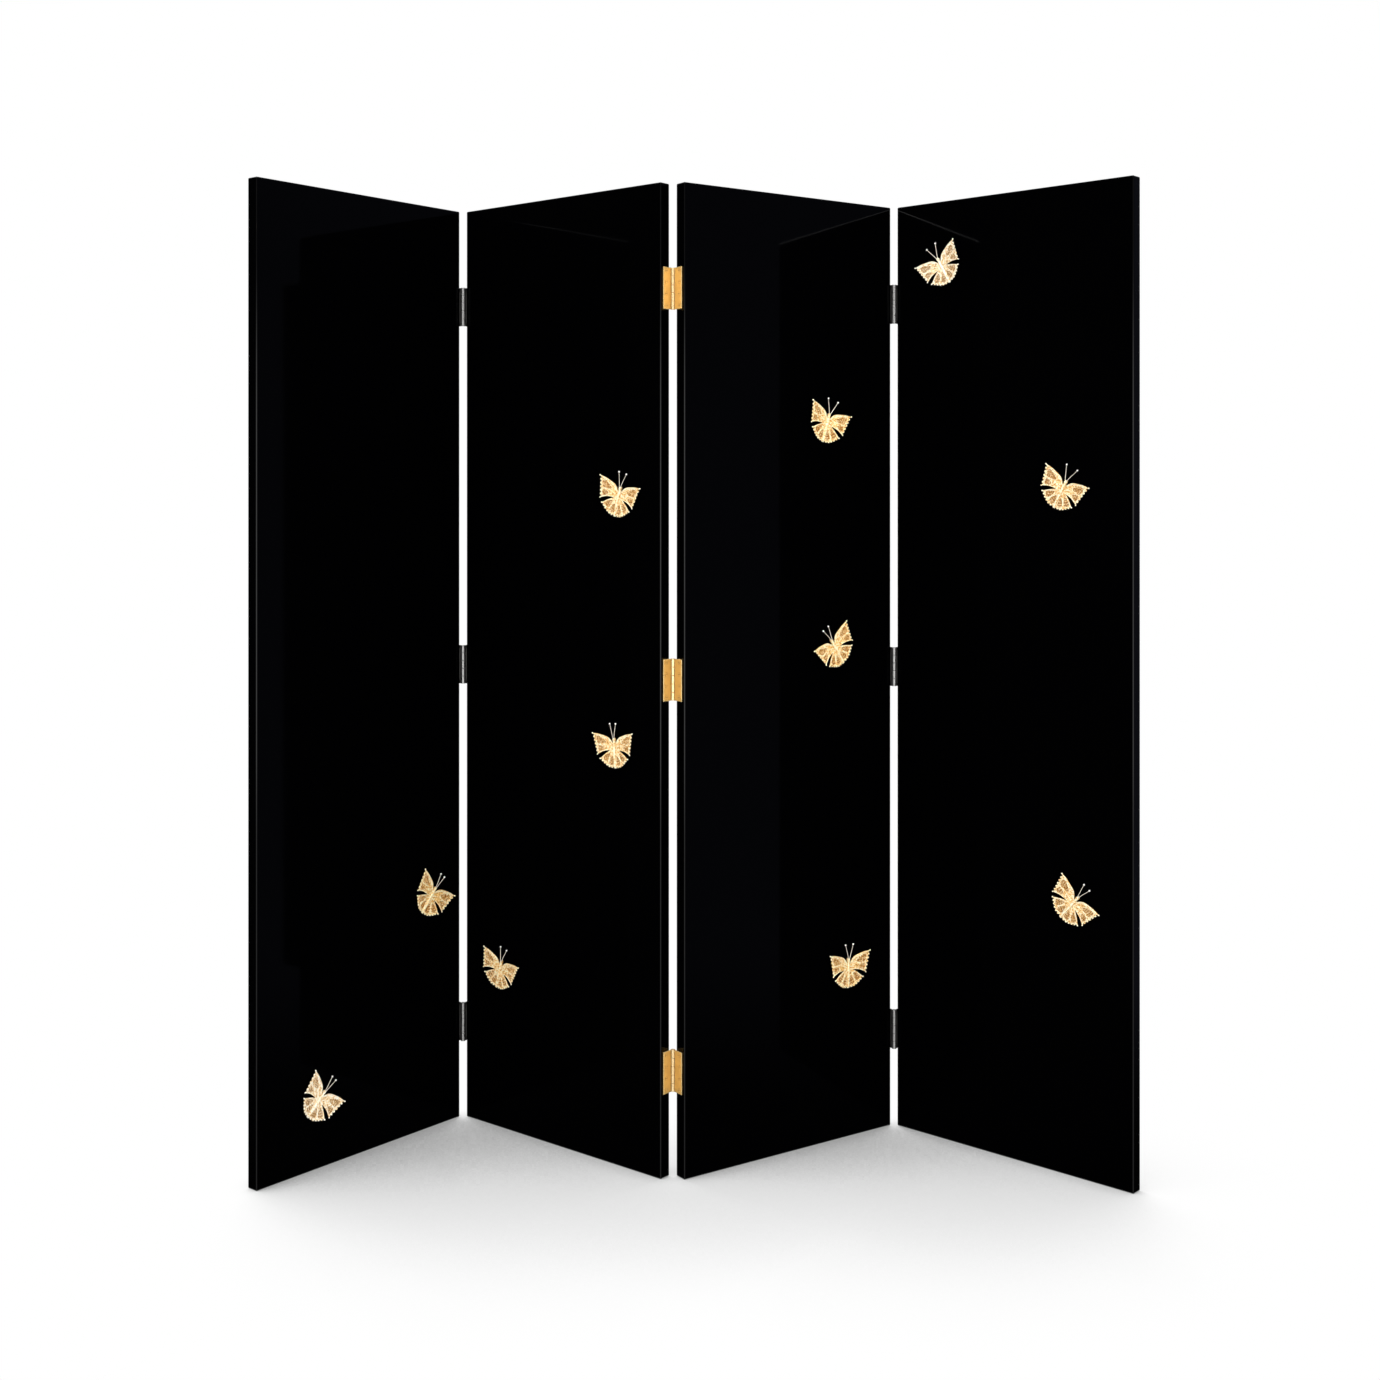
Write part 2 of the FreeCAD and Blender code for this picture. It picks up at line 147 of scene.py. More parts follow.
class Form:
    """Surfaces gathered into one mesh, with a tone for each point: 0 in a recess and 1 on an edge."""

    def __init__(self):
        self.points, self.faces, self.tones, self.count = [], [], [], 0

    def add(self, points, faces, tone=1.0):
        points = points.reshape(-1, 3)
        self.points.append(points)
        self.faces.append(faces.reshape(-1, 4) + self.count)
        self.tones.append(np.full(len(points), tone) if np.ndim(tone) == 0 else np.ravel(tone))
        self.count += len(points)

    def placed(self, origin, axes):
        """The same form with its own x, y and z laid along three directions from an origin."""
        moved = Form()
        moved.points = [points @ axes + origin for points in self.points]
        moved.faces, moved.tones, moved.count = self.faces, self.tones, self.count
        return moved

    def mirrored(self):
        """The form and its image across x = 0."""
        both = Form()
        for side in (1, -1):
            for points, faces, tones in zip(self.points, self.faces, self.tones):
                both.points.append(points * (side, 1, 1))
                both.faces.append(faces + (0 if side > 0 else self.count))
                both.tones.append(tones)
        both.count = 2 * self.count
        return both

    def piece(self, name, material, normals=None, pale=None):
        """The finished object: doubles merged, faces outwards, smooth, its tone as an attribute."""
        mesh = bpy.data.meshes.new(name)
        points, faces = np.vstack(self.points), np.vstack(self.faces)
        mesh.vertices.add(len(points))
        mesh.vertices.foreach_set("co", points.astype(np.float32).ravel())
        mesh.loops.add(faces.size)
        mesh.loops.foreach_set("vertex_index", faces.astype(np.int32).ravel())
        mesh.polygons.add(len(faces))
        mesh.polygons.foreach_set("loop_start", np.arange(len(faces), dtype=np.int32) * 4)
        mesh.update(calc_edges=True)
        attribute = mesh.attributes.new("tone", "FLOAT", "POINT")
        attribute.data.foreach_set("value", np.concatenate(self.tones).astype(np.float32))
        tidy = bmesh.new()
        tidy.from_mesh(mesh)
        bmesh.ops.remove_doubles(tidy, verts=tidy.verts, dist=MERGE_DISTANCE)
        bmesh.ops.recalc_face_normals(tidy, faces=tidy.faces)
        tidy.to_mesh(mesh)
        tidy.free()
        mesh.polygons.foreach_set("use_smooth", np.ones(len(mesh.polygons), bool))
        if normals:
            merged = np.empty(len(mesh.vertices) * 3, np.float32)
            mesh.vertices.foreach_get("co", merged)
            mesh.normals_split_custom_set_from_vertices(normals(merged.reshape(-1, 3)))
        if pale is not None:
            attribute = mesh.attributes.new("pale", "FLOAT", "POINT")
            attribute.data.foreach_set("value", np.full(len(mesh.vertices), pale, np.float32))
        mesh.materials.append(material)
        made = bpy.data.objects.new(name, mesh)
        bpy.context.scene.collection.objects.link(made)
        return made


MERGE_DISTANCE = 0.002 * MM


def grid_faces(rows, columns, closed=True):
    """The quads between neighbours on a grid of points, whose columns may close round."""
    first = np.arange(rows - 1)[:, None] * columns
    left = np.arange(columns if closed else columns - 1)
    right = (left + 1) % columns
    return np.stack((first + left, first + right, first + columns + right, first + columns + left), -1)


def rounded_block(form, low, high, radius, steps, tone=None):
    """A block with rounded arrises. A row is an outline with rounded corners: quarter circles about
    the four corners of the block drawn in by the radius. Up the foot and the head the quarter circles
    shrink by the cosine of an angle while the height follows its sine."""
    low, high = np.array(low, float), np.array(high, float)
    turn = np.linspace(0, np.pi / 2, steps + 1)
    round_angles = (np.arange(4)[:, None] * np.pi / 2 + turn).ravel()
    inner_low, inner_high = low + radius, high - radius
    corner_x = np.repeat((inner_high[0], inner_low[0], inner_low[0], inner_high[0]), steps + 1)
    corner_y = np.repeat((inner_high[1], inner_high[1], inner_low[1], inner_low[1]), steps + 1)
    rise = np.concatenate((turn - np.pi / 2, turn))
    spread = radius * np.cos(rise)[:, None]
    height = np.where(rise < 0, inner_low[2], inner_high[2]) + radius * np.sin(rise)
    height[steps] = inner_low[2]
    x = corner_x + spread * np.cos(round_angles)
    y = corner_y + spread * np.sin(round_angles)
    z = np.broadcast_to(height[:, None], x.shape)
    points = np.stack((x, y, z), -1)
    columns = len(round_angles)
    faces = grid_faces(len(rise), columns).reshape(-1, 4)
    corners = np.arange(4) * (steps + 1)
    caps = np.stack((corners, corners + (len(rise) - 1) * columns))
    edge = 1 - np.abs(block_normals(points.reshape(-1, 3), low, high, radius)).max(1)
    form.add(points, np.vstack((faces, caps)), edge / edge.max() if tone is None else tone)


def block_normals(points, low, high, radius):
    """Straight out from the nearest point of the block drawn in by the radius."""
    return (points - np.clip(points, low + radius, high - radius)) / radius


def turned(form, radii, heights, steps, tone=1.0, loop=False):
    """A turned piece: a profile of radii and heights carried round the z axis."""
    angle = np.arange(steps) * 2 * np.pi / steps
    radii, heights = np.asarray(radii, float), np.asarray(heights, float)
    x = radii[:, None] * np.cos(angle)
    y = radii[:, None] * np.sin(angle)
    points = np.stack((x, y, np.broadcast_to(heights[:, None], x.shape)), -1)
    tones = np.repeat(np.broadcast_to(tone, radii.shape), steps)
    faces = grid_faces(len(radii), steps).reshape(-1, 4)
    if loop:
        last = (len(radii) - 1) * steps
        first = np.arange(steps)
        after = (first + 1) % steps
        faces = np.vstack((faces, np.stack((first + last, after + last, after, first), -1)))
    form.add(points, faces, tones)


def curve_through(points, count):
    """A smooth curve through the points. Between two of them it is the cubic whose slope at each is
    half the way from the point before to the point after."""
    p = np.asarray(points, float)
    run = np.vstack((2 * p[0] - p[1], p, 2 * p[-1] - p[-2]))
    t = np.linspace(0, len(p) - 1, count)
    i = np.minimum(t.astype(int), len(p) - 2)
    u = (t - i)[:, None]
    a, b, c, d = run[i], run[i + 1], run[i + 2], run[i + 3]
    cubic = a - 2.5 * b + 2 * c - d / 2 + u * (1.5 * (b - c) + (d - a) / 2)
    return b + u * ((c - a) / 2 + u * cubic)


def even(path, shares):
    """Points at shares of a path's length."""
    lengths = np.concatenate(((0,), np.cumsum(np.linalg.norm(np.diff(path, axis=0), axis=1))))
    at = np.asarray(shares) * lengths[-1]
    return np.stack([np.interp(at, lengths, path[:, k]) for k in range(path.shape[1])], -1)


# Panels: one seamless lacquered board each

def middle(node):
    low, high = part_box(node)
    return (np.array(low) + np.array(high)) / 2


def panel_place(panel):
    """A panel's lower front left corner, and its across, back and up directions, from its boards."""
    back = middle(f"{panel}_back_skin") - middle(f"{panel}_front_skin")
    back /= np.linalg.norm(back)
    axes = np.array(((back[1], -back[0], 0), back, (0, 0, 1)))
    return middle(f"{panel}_core") - PANEL_SIZE / 2 @ axes, axes


def make_panel(panel, material):
    form = Form()
    rounded_block(form, (0, 0, 0), PANEL_SIZE, ARRIS_RADIUS, ARRIS_STEPS)
    origin, axes = panel_place(panel)

    def normals(points):
        own = (points - origin) @ axes.T
        return block_normals(own, np.zeros(3), PANEL_SIZE, ARRIS_RADIUS) @ axes

    board = form.placed(origin, axes).piece(f"{panel}_lacquer", material, normals)
    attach(board, panel)
    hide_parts(*(f"{panel}_{piece}" for piece in PANEL_PIECES))


# Hinges. A leaf's own frame has its pin along z and the hinge's middle at z = 0: x points away from
# the panel's end, and y from the pin towards the panel

def plate_lines(low, high, middles):
    """The lattice lines across one side of a plate: two at each edge, and a block round each screw."""
    rings = len(HOLE_RADII)
    block = np.linspace(-HOLE_BLOCK, HOLE_BLOCK, 2 * rings + 1)
    blocks = (np.asarray(middles)[:, None] + block).ravel()
    return np.concatenate(((low, low + LEAF_EDGE), blocks, (high - LEAF_EDGE, high)))


def leaf_plate(form, low, high, outer, screw_line, screw_heights):
    """A drilled plate. Its face is a lattice in y and z. Round each screw the square rings of the
    lattice are drawn round and dished: the points of the ring k steps out from the middle move along
    their own direction to the k-th radius and depth. The border drops over a small edge to the back."""
    y_lines = plate_lines(low[0] + LEAF_EDGE, high[0] - LEAF_EDGE, (screw_line,))
    z_lines = plate_lines(low[1] + LEAF_EDGE, high[1] - LEAF_EDGE, screw_heights)
    y, z = np.meshgrid(y_lines, z_lines)
    x = np.full(y.shape, outer)
    rings = len(HOLE_RADII)
    i = np.arange(len(z_lines))[:, None]
    j = np.arange(len(y_lines))[None, :] - (rings + 2)
    for number, height in enumerate(screw_heights):
        down = i - (2 + rings + number * (2 * rings + 1))
        ring = np.maximum(np.abs(down), np.abs(j))
        inside = ring < rings
        radius = HOLE_RADII[np.minimum(ring, rings - 1)]
        angle = np.arctan2(down + 0 * j, j + 0 * down)
        y = np.where(inside, screw_line + radius * np.cos(angle), y)
        z = np.where(inside, height + radius * np.sin(angle), z)
        x = np.where(inside, outer - HOLE_DEPTHS[np.minimum(ring, rings - 1)], x)
    points = np.stack((x, y, z), -1)
    form.add(points, grid_faces(*x.shape, closed=False), np.where(x < outer, 0.15, 0.6))
    border = np.concatenate((points[0, :-1], points[:-1, -1], points[-1, :0:-1], points[:0:-1, 0]))
    full = border.copy()
    for axis, lines in ((1, y_lines), (2, z_lines)):
        full[border[:, axis] <= lines[0], axis] = low[axis - 1]
        full[border[:, axis] >= lines[-1], axis] = high[axis - 1]
    edge = full - (LEAF_EDGE, 0, 0)
    below = edge - (LEAF_EDGE, 0, 0)
    back = full * (0, 1, 1) + (outer - LEAF_THICKNESS, 0, 0)
    centre = np.broadcast_to(back.mean(0), back.shape)
    rows = np.stack((border, edge, below, back, centre))
    form.add(rows, grid_faces(5, len(border)), np.repeat((1.0, 1.0, 0.6, 0.3, 0.3), len(border)))


def knuckle(form, low, high, outer, reach):
    """A rolled knuckle from low to high: a ring turned about the pin, and the strip that joins it to
    the plate, from a share of the ring's radius out."""
    edge = KNUCKLE_EDGE
    ends = np.array((BORE_RADIUS, KNUCKLE_RADIUS - edge, KNUCKLE_RADIUS, KNUCKLE_RADIUS))
    steps = np.array((0, 0, edge, 2 * edge))
    radii = np.concatenate((ends, ends[::-1]))
    heights = np.concatenate((low + steps, high - steps[::-1]))
    turned(form, radii, heights, ROUND_STEPS, (0.0, 0.4, 1.0, 0.8, 0.8, 1.0, 0.4, 0.0), loop=True)
    inside = KNUCKLE_RADIUS * KNUCKLE_ROOT
    rounded_block(form, (outer - LEAF_THICKNESS, inside, low), (outer, reach, high), LEAF_EDGE, 2)


def make_leaf(node, metal, origin, axes, standoff, first_slot):
    """A leaf with its knuckles in every other slot from first_slot up, and its four screws."""
    form = Form()
    outer = -LEAF_GAP / 2
    start = KNUCKLE_RADIUS + NOTCH_CLEARANCE
    end = standoff + LEAF_COVER
    heights = (np.arange(SCREW_COUNT) - (SCREW_COUNT - 1) / 2) * SCREW_PITCH
    screw_line = end - SCREW_INSET
    low, high = (start, -LEAF_HEIGHT / 2), (end, LEAF_HEIGHT / 2)
    leaf_plate(form, low, high, outer, screw_line, heights)
    pitch = LEAF_HEIGHT / KNUCKLE_COUNT
    for slot in range(first_slot, KNUCKLE_COUNT, 2):
        foot = slot * pitch - LEAF_HEIGHT / 2 + KNUCKLE_CLEARANCE / 2
        knuckle(form, foot, foot + pitch - KNUCKLE_CLEARANCE, outer, start + LEAF_EDGE)
    panel = node.split("_leaf_")[1]
    leaf = form.placed(origin, axes).piece(f"{node}_drilled", metal)
    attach(leaf, panel)
    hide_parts(node)
    screws = Form()
    for height in heights:
        screw(screws, np.array((outer, screw_line, height)))
    heads = screws.placed(origin, axes).piece(f"{node}_screws", metal)
    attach(heads, panel)
    return leaf, heads


def screw(form, head):
    """A countersunk screw along x. The head's rows run across the slot, each as long as the circle is
    there, and its crown falls off with the square of the distance from the middle; two pairs of rows
    at the slot's sides stand one over the other. Below the rim the border closes to the shank."""
    half = SLOT_WIDTH / 2
    beside = np.linspace(half, SCREW_RADIUS, SCREW_ROWS)
    rows = np.concatenate((-beside[::-1], (-half, half), beside))
    floor = np.zeros(len(rows), bool)
    floor[len(beside):len(beside) + 2] = True
    share = np.linspace(-1, 1, SCREW_COLUMNS)
    y = np.sqrt(np.maximum(SCREW_RADIUS**2 - rows**2, 0))[:, None] * share
    z = np.broadcast_to(rows[:, None], y.shape)
    x = SCREW_CROWN * (1 - (y**2 + z**2) / SCREW_RADIUS**2)
    x = np.where(floor[:, None], -SLOT_DEPTH, x)
    points = np.stack((x, y, z), -1)
    tone = np.where(floor[:, None], 0.0, 0.6) + 0 * y
    form.add(points + head, grid_faces(*y.shape, closed=False), tone)
    border = np.concatenate((points[:, -1], points[::-1, 0]))
    turn = np.arctan2(border[:, 2], border[:, 1])
    across = SHANK_RADIUS * np.cos(turn), SHANK_RADIUS * np.sin(turn)
    shank = np.stack((np.full(len(turn), -SCREW_DEPTH), *across), -1)
    tip = np.broadcast_to((-SCREW_DEPTH, 0, 0), shank.shape)
    form.add(np.stack((border, shank, tip)) + head, grid_faces(3, len(border)), 0.2)


def make_hinges(metals):
    for joint, (left, right, at_front, slot) in JOINTS.items():
        for level in LEVELS:
            pin = middle(f"{joint}_{level}_pin")
            for panel, end, first_slot in ((left, 1, 1), (right, -1, 0)):
                corner, axes = panel_place(panel)
                inwards = axes[1] if at_front else -axes[1]
                outwards = axes[0] * end
                face = corner if at_front else corner + axes[1] * PANEL_SIZE[1]
                standoff = float((face - pin) @ inwards)
                own = np.array((outwards, inwards, np.cross(outwards, inwards)))
                node = f"{joint}_{level}_leaf_{panel}"
                for made in make_leaf(node, metals[slot], pin, own, standoff, first_slot):
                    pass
            make_pin(f"{joint}_{level}_pin", right, pin, metals[slot])


def make_pin(node, panel, centre, metal):
    """A pin with small domes at its ends."""
    form = Form()
    dome = np.linspace(0, np.pi / 2, 5)
    half = LEAF_HEIGHT / 2
    radii = PIN_RADIUS * np.concatenate((np.sin(dome), np.sin(dome[::-1])))
    crown = PIN_CROWN * (1 - np.cos(dome))
    heights = np.concatenate((crown - half, half - crown[::-1]))
    turned(form, radii, heights, ROUND_STEPS, 0.8)
    pin = form.placed(centre, np.eye(3)).piece(f"{node}_domed", metal)
    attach(pin, panel)
    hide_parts(node)


# Butterflies. A butterfly's own frame has its back on z = 0, its middle at the origin and its head
# towards +y. The right wings are worked out in the plane of the wings, and then tilted and mirrored

FLOOR_HEIGHT = 0.35 * MM
PLATE_HEIGHT = 0.95 * MM
# The tones of the plate's top and of its underside; the underside's lower tone is painted shade.
PLATE_TONE = 0.68
UNDERSIDE_TONE = 0.2
WIRE_HEIGHT = 1.5 * MM
EDGE_POINTS = 80


class Wing:
    """A wing between a leading and a trailing edge, both from the root to the tip. The point at s and
    t lies on the straight line between the edges, plus the bulge of the outer edge times s squared."""

    def __init__(self, leading, trailing, outer=None):
        share = np.linspace(0, 1, EDGE_POINTS)
        self.leading = even(curve_through(named(leading), EDGE_POINTS), share)
        self.trailing = even(curve_through(named(trailing), EDGE_POINTS), share)
        self.bulge = np.zeros((EDGE_POINTS, 2))
        if outer:
            chord = self.leading[-1] + share[:, None] * (self.trailing[-1] - self.leading[-1])
            self.bulge = even(curve_through(named(outer), EDGE_POINTS), share) - chord

    def at(self, s, t):
        s, t = np.broadcast_arrays(np.asarray(s, float), np.asarray(t, float))
        lead, trail = along(self.leading, s), along(self.trailing, s)
        return lead + t[..., None] * (trail - lead) + s[..., None] ** 2 * along(self.bulge, t)

    def inset(self, s, distance):
        """The t that lies a distance in from the leading edge."""
        return distance / np.linalg.norm(along(self.trailing, s) - along(self.leading, s), axis=-1)


def named(names):
    return np.array([WING_SHARES[name] for name in names]) * WING_REACH


def along(curve, share):
    """Points of a curve at shares of its run."""
    at = np.clip(share, 0, 1) * (len(curve) - 1)
    return np.stack([np.interp(at, np.arange(len(curve)), curve[:, k]) for k in range(2)], -1)


# Each cell: where its root and its outer end are along s, its middle line in t at both, and half its
# width in t
FOREWING_CELLS = ((0.42, 0.905, 0.41, 0.315, 0.23), (0.53, 0.905, 0.80, 0.77, 0.175))
HINDWING_CELLS = ((0.33, 0.90, 0.27, 0.255, 0.215), (0.33, 0.90, 0.75, 0.745, 0.21))
RIM_WIRE = 0.8 * MM
RIM_POINTS = 41

# What makes an egg's fullest width 1, and where the top of a cell's wall is and how wide the wall is,
# both in halves of the cell's width there
EGG_FULLNESS = 1.367
WALL_TOP = 1.12
WALL_WIDTH = 0.2

# Scrolls: their pitch, wire and tones; how many turns one makes and the share of its radius left at its
# end; where the first row's middle is, in rows; how far the scrolls spread across the cell; the most
# that one fills of the pitch; and how far each is turned from the one in the row below and beside it
SCROLL_PITCH = 3.9 * MM
SCROLL_WIRE = 0.41 * MM
SCROLL_HEIGHT = 1.2 * MM
SCROLL_TONES = (0.25, 0.78)
SCROLL_TURNS = 1.5
SCROLL_END = 0.2
SCROLL_POINTS = 15
FIRST_ROW = 0.55
SCROLL_SPREAD = 0.88
SCROLL_FILL = 1.1
ROW_TURN = 2.1
NEIGHBOUR_TURN = 1.3

# The scalloped outer edge: its notches, its lobes and the beads on the lobes along s, the share of the
# wing that the scallops draw in, how far in the edge's wire is, and the corner beads' places in t
NOTCH_LINE = 0.91
LOBE_LINE = 0.995
BEAD_LINE = 0.97
SCALLOPS = 6
LOBE_COLUMNS = 9
EDGE_SHARE = 0.15
EDGE_WIRE_INSET = 0.015
BEAD_HEIGHT = 0.6 * WIRE_HEIGHT
EDGE_BEAD = 1.5 * MM
CORNER_BEADS = ((0, 1.6 * MM), (1, 1.3 * MM))

# Wires along the edges and ribs: half their widths, their heights, and the ribs' places in t. The band
# beside the leading edge moves in and widens towards the middle of its run by the two swells
SIDE_WIRE = 0.9 * MM
LEADING_HEIGHT = 2.3 * MM
TRAILING_HEIGHT = 1.7 * MM
SHORTEST_CHORD = 3 * MM
BAND_PLACE = 1.9 * MM
BAND_PLACE_SWELL = 1.5 * MM
BAND_WIRE = 0.7 * MM
BAND_WIRE_SWELL = 1.3 * MM
BAND_HEIGHT = 1.9 * MM
RIB_ROOT_WIRE = 1.5 * MM
RIB_TAPER = 0.6 * MM
RIB_HEIGHT = 1.8 * MM
RIB_LINE = 0.555
RIB_BEND = 0.13
HIND_RIB_LINE = 0.505
HIND_SIDE_LINE = 0.02
SIDE_POINTS = 30
RIB_POINTS = 24
FOREWING_ROWS = 54
HINDWING_ROWS = 42


def cell_width(share):
    """Half an egg's width: round at both ends, and full at two thirds of the way out."""
    share = np.clip(share, 0, 1)
    return EGG_FULLNESS * np.sqrt(share * (1 - share**4))


def cell_depth(cells, s, t):
    """How far into a cell a point of the wing is: 0 outside, 1 inside, and a soft wall between."""
    deepest = np.zeros(np.broadcast(s, t).shape)
    for root, end, t_root, t_end, half in cells:
        share = (s - root) / (end - root)
        line = t_root + share * (t_end - t_root)
        width = np.maximum(half * cell_width(share), 1e-4)
        inside = np.clip((WALL_TOP - np.abs(t - line) / width) / WALL_WIDTH, 0, 1)
        inside = inside * (share > 0) * (share < 1)
        deepest = np.maximum(deepest, inside)
    return deepest


def scalloped(t):
    """Where the outer edge is along s: the size of a cosine of t between the notches and the lobes."""
    return NOTCH_LINE + (LOBE_LINE - NOTCH_LINE) * np.abs(np.cos(np.pi * SCALLOPS * t))


def wing_plate(form, wing, cells, rows):
    """The wing as a closed plate with its cells sunk in and its outer edge drawn in to the scallops.
    Each row runs over the top and back under."""
    columns = SCALLOPS * LOBE_COLUMNS + 1
    s, t = np.meshgrid(np.linspace(0, 1, rows), np.linspace(0, 1, columns), indexing="ij")
    s = s - (1 - scalloped(t)) * np.clip((s - 1 + EDGE_SHARE) / EDGE_SHARE, 0, 1)
    flat = wing.at(s, t)
    depth = cell_depth(cells, s, t)
    top = PLATE_HEIGHT - depth * (PLATE_HEIGHT - FLOOR_HEIGHT)
    over = np.concatenate((flat, top[..., None]), -1)
    under = np.concatenate((flat[:, ::-1], np.zeros(s.shape + (1,))), -1)
    points = np.concatenate((over, under), 1)
    ends = points[[0, -1]].copy()
    ends[..., 2] = PLATE_HEIGHT / 2
    points = np.concatenate((ends[:1], points, ends[1:]))
    # The tone falls to 0 in the cells and is low on the underside, which the gilding paints as shade.
    tone = np.concatenate((PLATE_TONE - PLATE_TONE * depth, 0 * depth + UNDERSIDE_TONE), 1)
    tone = np.pad(tone, ((1, 1), (0, 0)), mode="edge")
    form.add(points, grid_faces(rows + 2, 2 * columns), tone)


def wire(form, path, half_width, height, base=0.0, sides=5, tones=(0.45, 1.0)):
    """A half-round wire on the wing. Each section is half an ellipse across the path, and near its
    ends the wire narrows as a half circle does."""
    path = np.asarray(path, float)
    step = np.linalg.norm(np.diff(path, axis=0), axis=1)
    run = np.concatenate(((0,), np.cumsum(step)))
    half_width = np.broadcast_to(half_width, len(path))
    near = np.clip(np.minimum(run, run[-1] - run) / half_width, 0, 1)
    taper = np.sqrt(1 - (1 - near) ** 2)
    way = np.gradient(path, axis=0)
    way /= np.maximum(np.linalg.norm(way, axis=1), 1e-12)[:, None]
    across = np.stack((-way[:, 1], way[:, 0]), 1)
    angle = np.linspace(0, np.pi, sides)
    aside = across[:, None] * (half_width * taper)[:, None, None] * np.cos(angle)[:, None]
    flat = path[:, None] + aside
    rise = base + (np.broadcast_to(height, len(path)) - base) * taper
    level = base + (rise[:, None] - base) * np.sin(angle)
    # The tone rises from the wire's sides to its top, which the gilding paints as shade on the sides
    # and a highlight along the top.
    tone = tones[0] + (tones[1] - tones[0]) * np.sin(angle) * np.ones((len(path), 1))
    form.add(np.concatenate((flat, level[..., None]), -1), grid_faces(len(path), sides), tone)


def bead(form, centre, radius, tone=1.0, steps=8, rows=7):
    """A small ball: its latitude circles, closed at two poles."""
    rise = np.linspace(-np.pi / 2, np.pi / 2, rows)
    ball = Form()
    turned(ball, radius * np.cos(rise), radius * np.sin(rise), steps, tone)
    form.add(ball.points[0] + centre, ball.faces[0], tone)


def scroll(form, centre, radius, start, hand):
    """A spiral wire: its radius falls evenly over a turn and a half, to a fifth."""
    share = np.linspace(0, 1, SCROLL_POINTS)
    turn = start + hand * share * 2 * np.pi * SCROLL_TURNS
    spiral = radius * (1 - (1 - SCROLL_END) * share)
    path = centre + spiral[:, None] * np.stack((np.cos(turn), np.sin(turn)), 1)
    wire(form, path, SCROLL_WIRE, SCROLL_HEIGHT, FLOOR_HEIGHT / 2, 4, SCROLL_TONES)


def fill_cells(form, wing, cells):
    """Each cell's rim, and rows of scrolls across it, as many as have room, that turn both ways."""
    for root, end, t_root, t_end, half in cells:
        turn = np.linspace(-np.pi, np.pi, RIM_POINTS)
        share = (1 + np.cos(turn)) / 2
        line = t_root + share * (t_end - t_root)
        rim = wing.at(root + share * (end - root), line + np.sign(turn) * half * cell_width(share))
        wire(form, rim, RIM_WIRE, WIRE_HEIGHT, FLOOR_HEIGHT / 2)
        length = np.linalg.norm(wing.at(end, t_end) - wing.at(root, t_root)) - RIM_WIRE
        rows = round(length / SCROLL_PITCH)
        for row in range(rows):
            share = (row + FIRST_ROW) / rows
            s, t = root + share * (end - root), t_root + share * (t_end - t_root)
            reach = half * cell_width(share)
            width = np.linalg.norm(wing.at(s, t + reach) - wing.at(s, t - reach)) - 2 * RIM_WIRE
            count = max(round(width / SCROLL_PITCH), 1)
            radius = min(width / count, length / rows, SCROLL_FILL * SCROLL_PITCH) / 2
            for number in range(count):
                aside = (2 * number + 1) / count - 1
                centre = wing.at(s, t + SCROLL_SPREAD * aside * reach)
                start = row * ROW_TURN + number * NEIGHBOUR_TURN
                scroll(form, centre, radius, start, 1 if (row + number) % 2 else -1)


def edge_beads(form, wing):
    """A bead on each lobe of the outer edge, and one on each of its two corners whose higher tone
    paints it brighter, as a highlight.
    """
    for spot in wing.at(BEAD_LINE, np.arange(1, SCALLOPS) / SCALLOPS):
        bead(form, np.array((*spot, BEAD_HEIGHT)), EDGE_BEAD)
    for t, radius in CORNER_BEADS:
        bead(form, np.array((*wing.at(LOBE_LINE, t), BEAD_HEIGHT)), radius, 1.3)


def right_wings():
    """The right forewing and hindwing: plates, smooth bands and ribs in one form, and the filigree of
    rims, scrolls and beads in another."""
    plates, filigree = Form(), Form()
    fore = Wing(
        ("neck", "shoulder", "crest", "outer crest", "upper tip"),
        ("waist", "slit", "trailing bend", "lower tip"),
    )
    hind = Wing(
        ("waist", "slit", "hind bend", "hind corner"), ("waist", "rim end"),
        ("hind corner", "rim quarter", "rim", "rim end"),
    )
    wing_plate(plates, fore, FOREWING_CELLS, FOREWING_ROWS)
    wing_plate(plates, hind, HINDWING_CELLS, HINDWING_ROWS)
    s = np.linspace(0, 1, SIDE_POINTS)
    band = s[2:-3]
    swell = np.sin(np.pi * np.clip(band * 0.92 + 0.06, 0, 1))
    rib = np.linspace(0.06, 0.985, RIB_POINTS)
    leading = fore.inset(s, SIDE_WIRE)
    wire(plates, fore.at(s, leading), SIDE_WIRE, LEADING_HEIGHT, 0, 6)
    groove = fore.inset(band, BAND_PLACE + BAND_PLACE_SWELL * swell)
    wire(plates, fore.at(band, groove), BAND_WIRE + BAND_WIRE_SWELL * swell, BAND_HEIGHT, 0, 6)
    rib_line = RIB_LINE + RIB_BEND * (1 - rib) ** 2
    wire(plates, fore.at(rib, rib_line), RIB_ROOT_WIRE - RIB_TAPER * rib, RIB_HEIGHT, 0, 6)
    chord = 1 / fore.inset(s, 1)
    trailing = 1 - SIDE_WIRE / np.maximum(chord, SHORTEST_CHORD)
    wire(plates, fore.at(s, trailing), SIDE_WIRE, TRAILING_HEIGHT, 0, 6)
    wire(plates, hind.at(s[3:], HIND_SIDE_LINE), SIDE_WIRE, TRAILING_HEIGHT, 0, 6)
    wire(plates, hind.at(rib, HIND_RIB_LINE), SIDE_WIRE, TRAILING_HEIGHT, 0, 5)
    t = np.linspace(0.005, 0.995, SCALLOPS * LOBE_COLUMNS + 1)
    for wing, cells in ((fore, FOREWING_CELLS), (hind, HINDWING_CELLS)):
        wire(plates, wing.at(scalloped(t) - EDGE_WIRE_INSET, t), RIM_WIRE, WIRE_HEIGHT)
        fill_cells(filigree, wing, cells)
        edge_beads(filigree, wing)
    return tilted(plates), tilted(filigree)


